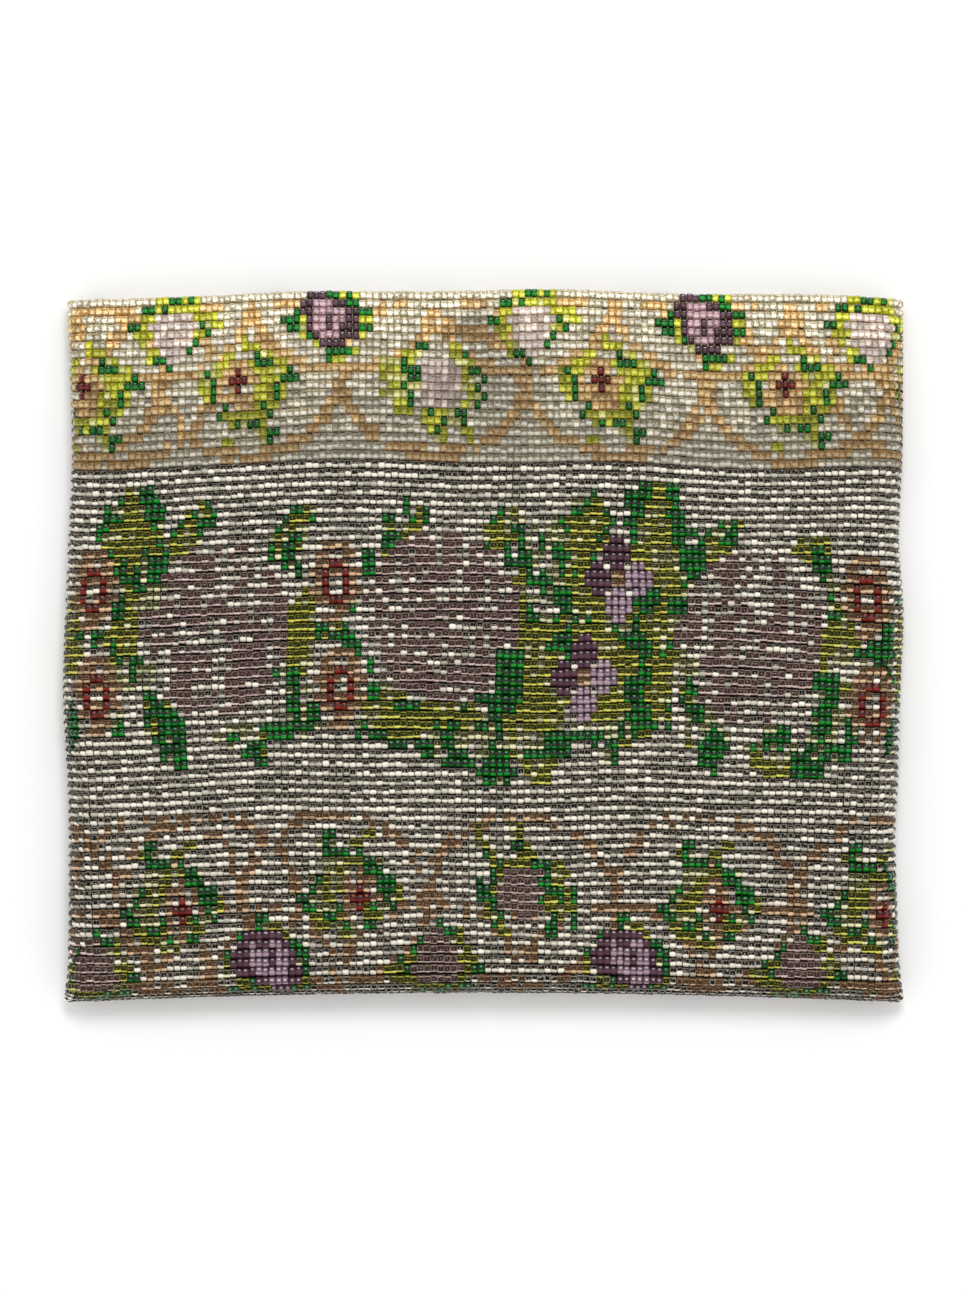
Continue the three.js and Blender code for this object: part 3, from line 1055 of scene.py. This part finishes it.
def bead_glass(name, glass):
    """Glass of one colour, its light and shade painted into its base colour: what a lit bead shows over the
    dark lining or the pale facing, and a painted highlight near its upper edge. The tile sets the tone of
    the backing, which carries the painted light and shade of the facing, and the chances of each bead."""
    material, tree, shader = new_material(name)
    first, second = surface_map(tree)
    variant, along = tile_place(tree, first, TILES[0])
    tone, around = tile_place(tree, second, TILES[1])
    chances = tile_chances(tree, variant, tone)
    streaks = streak_noise(tree, variant, along, around)
    bent = maths(tree, "ADD", around, varied(tree, streaks, -0.03, 0.03))
    lined = over_lining(tree, glass, chances, streaks, along, bent)
    share = maths(tree, "DIVIDE", tone, TILES[1] - 1)
    # Painted shade: the facing's look is darker where the backing's tone is lower, towards the facing's
    # lower edge
    shade = maths(tree, "MULTIPLY", varied(tree, share, 0.3, 1.0), varied(tree, chances[1], 0.8, 1.12))
    faced = times(tree, over_facing(tree, glass, chances, streaks, along, bent), shade)
    colour = mix(tree, maths(tree, "POWER", share, 0.5), lined, faced)
    # Painted highlight near the upper edge of the bead
    spot = patch(tree, along, around, (0.5, 0.61), (0.22, 0.04), glass["spot"])
    feed(tree, shader.inputs["Base Color"], mix(tree, spot, colour, glass["highlight_tone"]))
    settle(shader, {"Roughness": 0.1, "IOR": 1.5, "Specular IOR Level": glass["gloss"]})
    return material


def glass_of(lining_tones, facing_tones, highlight_tone=(255, 255, 255), **changes):
    """The looks of a glass: its body, the painted light that it gathers and its painted ends, over the
    lining and over the facing, the tone of its painted highlight, then the sizes and strengths of its
    painted lights, which are those of clear glass unless changed. Clear glass has no painted highlight."""
    window, light, end = (linear(tone) for tone in lining_tones)
    pale, pale_painted_light, pale_streak_and_end_shade = (linear(tone) for tone in facing_tones)
    looks = {
        "window": window, "light": light, "end": end,
        "pale": pale, "pale_painted_light": pale_painted_light, "pale_streak_and_end_shade": pale_streak_and_end_shade,
        "highlight_tone": linear(highlight_tone), "glint": 0.4, "spot": 0.0, "gloss": 0.1,
        "length": 0.49, "height": 0.112, "middle": 0.38, "dimmest": 0.4, "high": 0.2,
    }
    return looks | changes


# Each glass: over the lining its window, its painted pillow of light and its painted ends; over the facing
# its streaked body, its painted blot of light and its painted end shade; then the tone of its painted
# highlight
GLASSES = {
    CLEAR: ("clear", glass_of(
        [(8, 6, 4), (255, 247, 229), (108, 98, 82)], [(208, 196, 160), (255, 251, 236), (148, 130, 90)])),
    GOLD: ("gold", glass_of(
        [(60, 40, 23), (236, 200, 160), (106, 77, 52)], [(216, 170, 102), (249, 224, 170), (164, 111, 50)],
        height=0.076, glint=0.35)),
    LIME: ("lime", glass_of(
        [(28, 31, 0), (232, 226, 104), (70, 70, 10)], [(190, 192, 26), (240, 238, 108), (126, 128, 4)],
        height=0.052, length=0.6, dimmest=0.7, high=0.4, glint=0.25)),
    PALE_LIME: ("pale_lime", glass_of(
        [(38, 38, 8), (248, 244, 196), (86, 84, 42)], [(206, 204, 100), (250, 248, 182), (158, 152, 50)],
        height=0.085, glint=0.3)),
    GREEN: ("green", glass_of(
        [(0, 26, 4), (8, 148, 38), (0, 18, 3)], [(0, 56, 11), (12, 142, 36), (0, 34, 6)],
        (110, 220, 130), height=0.085, length=0.42, dimmest=0.2, glint=0.3, spot=0.35, gloss=0.3)),
    RED: ("red", glass_of(
        [(62, 9, 5), (134, 30, 16), (42, 5, 3)], [(74, 12, 7), (130, 34, 18), (42, 6, 3)],
        (220, 150, 140), glint=0.1, spot=0.3, gloss=0.3)),
    MAUVE: ("mauve", glass_of(
        [(52, 34, 28), (230, 206, 198), (98, 78, 70)], [(224, 204, 188), (253, 242, 234), (176, 150, 128)],
        height=0.044, length=0.9, dimmest=0.6, high=0.35, glint=0.35)),
    PURPLE: ("purple", glass_of(
        [(60, 32, 44), (90, 53, 68), (33, 17, 25)], [(64, 37, 47), (96, 66, 78), (36, 19, 26)],
        (226, 204, 214), glint=0.1, spot=0.45, gloss=0.3)),
    LILAC: ("lilac", glass_of(
        [(108, 84, 96), (178, 154, 166), (62, 45, 54)], [(176, 136, 144), (214, 182, 186), (136, 100, 106)],
        (244, 230, 238), glint=0.2, spot=0.55, gloss=0.3)),
}


def woven_cloth(name, dark, light, threads, roughness):
    """Plain woven cloth: warp and weft threads cross over and under by turns, which gives its height, and
    its colour runs from a painted shade in the hollows to a painted light on the threads, with slow stains."""
    material, tree, shader = new_material(name)
    first, second = surface_map(tree)
    tiles = []
    rounds = []
    for value, count in zip((first, second), threads):
        thread = maths(tree, "MULTIPLY", value, count)
        tiles.append(maths(tree, "FLOOR", thread))
        rounds.append(maths(tree, "ABSOLUTE", maths(tree, "SINE", maths(tree, "MULTIPLY", thread, np.pi))))
    over = maths(tree, "PINGPONG", maths(tree, "ADD", *tiles), 1.0)
    under = maths(tree, "SUBTRACT", 1.0, over)
    height = maths(tree, "MULTIPLY_ADD", rounds[0], over, maths(tree, "MULTIPLY", rounds[1], under))
    stains = grain_of(tree, 60.0, 4.0)
    # Painted shade and light: darker in the weave's hollows, lighter on its threads, with the stains on top
    tone = maths(tree, "MULTIPLY_ADD", stains, 0.5, maths(tree, "MULTIPLY", height, 0.6))
    feed(tree, shader.inputs["Base Color"], ramp(tree, tone, [(0.1, dark), (0.85, light)]))
    bump = tree.nodes.new("ShaderNodeBump")
    settle(bump, {"Strength": 0.5, "Distance": 0.0002})
    feed(tree, bump.inputs["Height"], height)
    feed(tree, shader.inputs["Normal"], bump.outputs[0])
    settle(shader, {"Roughness": roughness, "Sheen Weight": 0.25})
    return material


def thread_material():
    """Clear twisted thread: it takes the tone of the pale facing at the mouth and of the dark lining below,
    and a painted shade that follows its twist darkens that tone in places along it."""
    material, tree, shader = new_material("beading_thread")
    first, second = surface_map(tree)
    turn = maths(tree, "MULTIPLY", second, 6.28)
    twist = maths(tree, "SINE", maths(tree, "MULTIPLY_ADD", first, 900.0, turn))
    backing = ramp(tree, first, [(0.225, (204, 186, 150)), (0.24, (36, 32, 27))])
    # Painted shade: a wave along the twist darkens the thread's tone
    feed(tree, shader.inputs["Base Color"], times(tree, backing, varied(tree, twist, 0.8, 1.0)))
    settle(shader, {"Roughness": 0.6})
    return material


def satin_nickel():
    """Satin nickel: a fine grain of polish, in roughness and tone."""
    material, tree, shader = new_material("satin_nickel")
    grain = grain_of(tree, 900.0, 3.0)
    tone = ramp(tree, grain, [(0.3, (176, 172, 164)), (0.7, (206, 203, 197))])
    feed(tree, shader.inputs["Base Color"], tone)
    feed(tree, shader.inputs["Roughness"], varied(tree, grain, 0.25, 0.45))
    settle(shader, {"Metallic": 1.0})
    return material


# Pieces

def finish_piece(piece, node):
    """Every piece rides on the clutch's one body and stands for its node, which is hidden."""
    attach(piece, "root")
    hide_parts(node)
    return piece


def add_panel_beads(side, beads, templates, materials, zones):
    """The beads of a panel, one piece for each colour, and the clear ones in zones of rows."""
    for colour, (word, _) in GLASSES.items():
        chosen = beads["colour"] == colour
        parts = zones if colour == CLEAR else {"": EVERY_ROW}
        for zone, (start, end) in parts.items():
            inside = chosen & (beads["row"] >= start) & (beads["row"] < end)
            if inside.any():
                name = "_".join(part for part in (side, word, "beads", zone) if part)
                piece = bead_piece(name, beads, inside, templates, materials[colour])
                finish_piece(piece, f"{side}_beadwork")


def tube_grid(paths, sideways, outwards, radius, sides):
    """Closed tubes along many paths at once: each point of a path carries a ring of the given radius."""
    angle = 2 * np.pi * np.arange(sides) / sides
    ring = sideways[..., None, :] * np.cos(angle)[:, None] + outwards[..., None, :] * np.sin(angle)[:, None]
    points = paths[..., None, :] + radius * ring
    count, steps = paths.shape[:2]
    tube, step, side = np.meshgrid(np.arange(count), np.arange(steps - 1), np.arange(sides), indexing="ij")
    after = (side + 1) % sides
    base = (tube * steps + step) * sides
    quads = np.stack([base + side, base + after, base + sides + after, base + sides + side], -1)
    u = np.stack([step, step, step + 1, step + 1], -1) / (steps - 1)
    v = np.stack([side, side + 1, side + 1, side], -1) / sides
    start = (np.arange(count) * steps * sides)[:, None] + np.arange(sides)[::-1]
    end = (np.arange(count) * steps * sides + (steps - 1) * sides)[:, None] + np.arange(sides)
    corners = np.concatenate([quads.ravel(), start.ravel(), end.ravel()])
    sizes = np.concatenate([np.full(quads.size // 4, 4), np.full(2 * count, sides)])
    body_map = np.stack([u, v], -1).reshape(-1, 2)
    end_map = np.zeros((start.size + end.size, 2))
    return points.reshape(-1, 3), sizes, corners, np.concatenate([body_map, end_map])


def add_warp_threads(material, beads):
    """The threads that run up the front between the bead columns: each lies midway between the beads on
    either side of it, just under their tops, and is followed on every second row."""
    place, along, _, outward = (part.reshape(*beads["shape"], 3)[::2] for part in beads["frames"])
    middle = (place[:, 1:] + place[:, :-1]) / 2
    sideways = unit(along[:, 1:] + along[:, :-1])
    raised = unit(outward[:, 1:] + outward[:, :-1])
    paths = middle + THREAD_RISE * raised
    parts = tube_grid(*(part.swapaxes(0, 1) for part in (paths, sideways, raised)), THREAD_RADIUS, 4)
    piece = mesh_piece("front_warp_threads", *parts, material)
    finish_piece(piece, "front_beadwork")


def cloth_wall(name, rises, is_front, material):
    """A thin closed wall of cloth between two insets, on a grid of stations across and up the panel."""
    across = np.concatenate([np.linspace(0, 1, 7)[:-1], np.linspace(1, 2, 41), np.linspace(2, 3, 7)[1:]])
    outer = panel_points(across[None], rises[:, None], CLOTH_OUTSIDE, is_front)
    inner = panel_points(across[None], rises[:, None], CLOTH_INSIDE, is_front)
    upper, lower = (outer, inner) if is_front else (inner, outer)
    rows, columns = upper.shape[:2]
    points = np.concatenate([upper.reshape(-1, 3), lower.reshape(-1, 3)])
    row, column = np.meshgrid(np.arange(rows - 1), np.arange(columns - 1), indexing="ij")
    near = row * columns + column
    far = near + columns
    under = rows * columns
    top = np.stack([near, near + 1, far + 1, far], -1).reshape(-1, 4)
    bottom = np.stack([near, far, far + 1, near + 1], -1).reshape(-1, 4) + under
    edge = np.concatenate([
        np.arange(columns),
        np.arange(1, rows) * columns + columns - 1,
        (rows - 1) * columns + np.arange(columns - 1)[::-1],
        np.arange(1, rows - 1)[::-1] * columns,
    ])
    after = np.roll(edge, -1)
    rim = np.stack([edge + under, after + under, after, edge], -1)
    quads = np.concatenate([top, bottom, rim])
    width = np.broadcast_to(np.linspace(0, 1, columns), (rows, columns)).ravel()
    height = np.repeat(np.linspace(0, 1, rows), columns)
    vertex_map = np.tile(np.stack([width, height], -1), (2, 1))
    corners = quads.ravel()
    return mesh_piece(name, points, np.full(len(quads), 4), corners, vertex_map[corners], material)


def add_cloth(facing, lining):
    """The facing behind the beads of the mouth and the lining behind the rest, on each panel."""
    bottom_rises = np.linspace(0, 1, 6)[:-1]
    facing_rises = np.linspace(rise_at(FACING_START), rise_at(SIDE_LENGTH - LIP_SETBACK), 16)
    lining_rises = np.concatenate([bottom_rises, np.linspace(1, rise_at(FACING_START - GAP), 26)])
    for side in ("front", "back"):
        piece = cloth_wall(f"{side}_facing_cloth", facing_rises, side == "front", facing)
        finish_piece(piece, f"{side}_facing")
        piece = cloth_wall(f"{side}_lining_cloth", lining_rises, side == "front", lining)
        finish_piece(piece, f"{side}_lining")


# The floor, the light and the camera

def add_floor():
    """A wide pale floor under the pouch."""
    mesh = bpy.data.meshes.new("floor")
    corners = [(x * FLOOR_HALF, y * FLOOR_HALF, 0) for x, y in ((-1, -1), (1, -1), (1, 1), (-1, 1))]
    mesh.from_pydata(corners, [], [(0, 1, 2, 3)])
    material, _, shader = new_material("pale_floor")
    settle(shader, {"Base Color": (FLOOR_GREY, FLOOR_GREY, FLOOR_GREY, 1), "Roughness": 0.8})
    mesh.materials.append(material)
    floor = bpy.data.objects.new("floor", mesh)
    bpy.context.scene.collection.objects.link(floor)


def add_soft_light(name, place, size, power):
    """A square soft box at a place in metres, turned to the pouch."""
    light = bpy.data.lights.new(name, "AREA")
    light.size = size
    light.energy = power
    lamp = bpy.data.objects.new(name, light)
    lamp.location = place
    lamp.rotation_euler = (-lamp.location).to_track_quat("-Z", "Y").to_euler()
    bpy.context.scene.collection.objects.link(lamp)


def light_scene():
    """An even white surround, and a soft box beyond the mouth for the glints on the glass."""
    world = bpy.data.worlds.new("studio")
    world.use_nodes = True
    settle(world.node_tree.nodes["Background"], {"Color": (1, 1, 1, 1), "Strength": SURROUND})
    bpy.context.scene.world = world
    add_soft_light("key_box", BOX_PLACE, BOX_SIZE, BOX_POWER)
    bpy.context.scene.view_settings.view_transform = "Standard"


def add_camera():
    """The camera looks straight down on the pouch, far enough away to take in the view's height."""
    data = bpy.data.cameras.new("camera")
    data.lens = LENS
    data.sensor_fit = "VERTICAL"
    data.sensor_height = SENSOR
    camera = bpy.data.objects.new("camera", data)
    distance = VIEW_HEIGHT * LENS / SENSOR
    camera.location = (VIEW_MIDDLE[0] * MM, VIEW_MIDDLE[1] * MM, (VIEW_PLANE + distance) * MM)
    bpy.context.scene.collection.objects.link(camera)
    bpy.context.scene.camera = camera


def build():
    """Camera and light, then the beads of both panels, the threads, the cloth and the snap."""
    add_camera()
    light_scene()
    add_floor()
    random = np.random.default_rng(SEED)
    chart = bead_chart(max(len(FRONT_RISES), len(BACK_RISES)), random)
    materials = {colour: bead_glass(f"{word}_glass", glass) for colour, (word, glass) in GLASSES.items()}
    beads = panel_beads(FRONT_RISES, FRONT_COLUMNS, True, chart, random)
    at_edge = np.minimum(beads["column"], FRONT_COLUMNS - 1 - beads["column"]) < EDGE_COLUMNS
    faced = beads["faced"] & ~at_edge
    templates = [(FRONT_BEAD, ~at_edge & ~faced), (FACED_BEAD, faced), (EDGE_BEAD, at_edge)]
    add_panel_beads("front", beads, templates, materials, CLEAR_ZONES)
    add_warp_threads(thread_material(), beads)
    beads = panel_beads(BACK_RISES, BACK_COLUMNS, False, chart, random)
    everywhere = np.full(len(beads["row"]), True)
    add_panel_beads("back", beads, [(BACK_BEAD, everywhere)], materials, {"": EVERY_ROW})
    facing = woven_cloth("cream_facing", (150, 138, 112), (226, 216, 192), (420, 84), 0.75)
    lining = woven_cloth("dark_lining", (10, 9, 8), (40, 36, 32), (420, 270), 0.8)
    add_cloth(facing, lining)
    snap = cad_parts["snap"]
    snap.data.materials.clear()
    snap.data.materials.append(satin_nickel())


build()
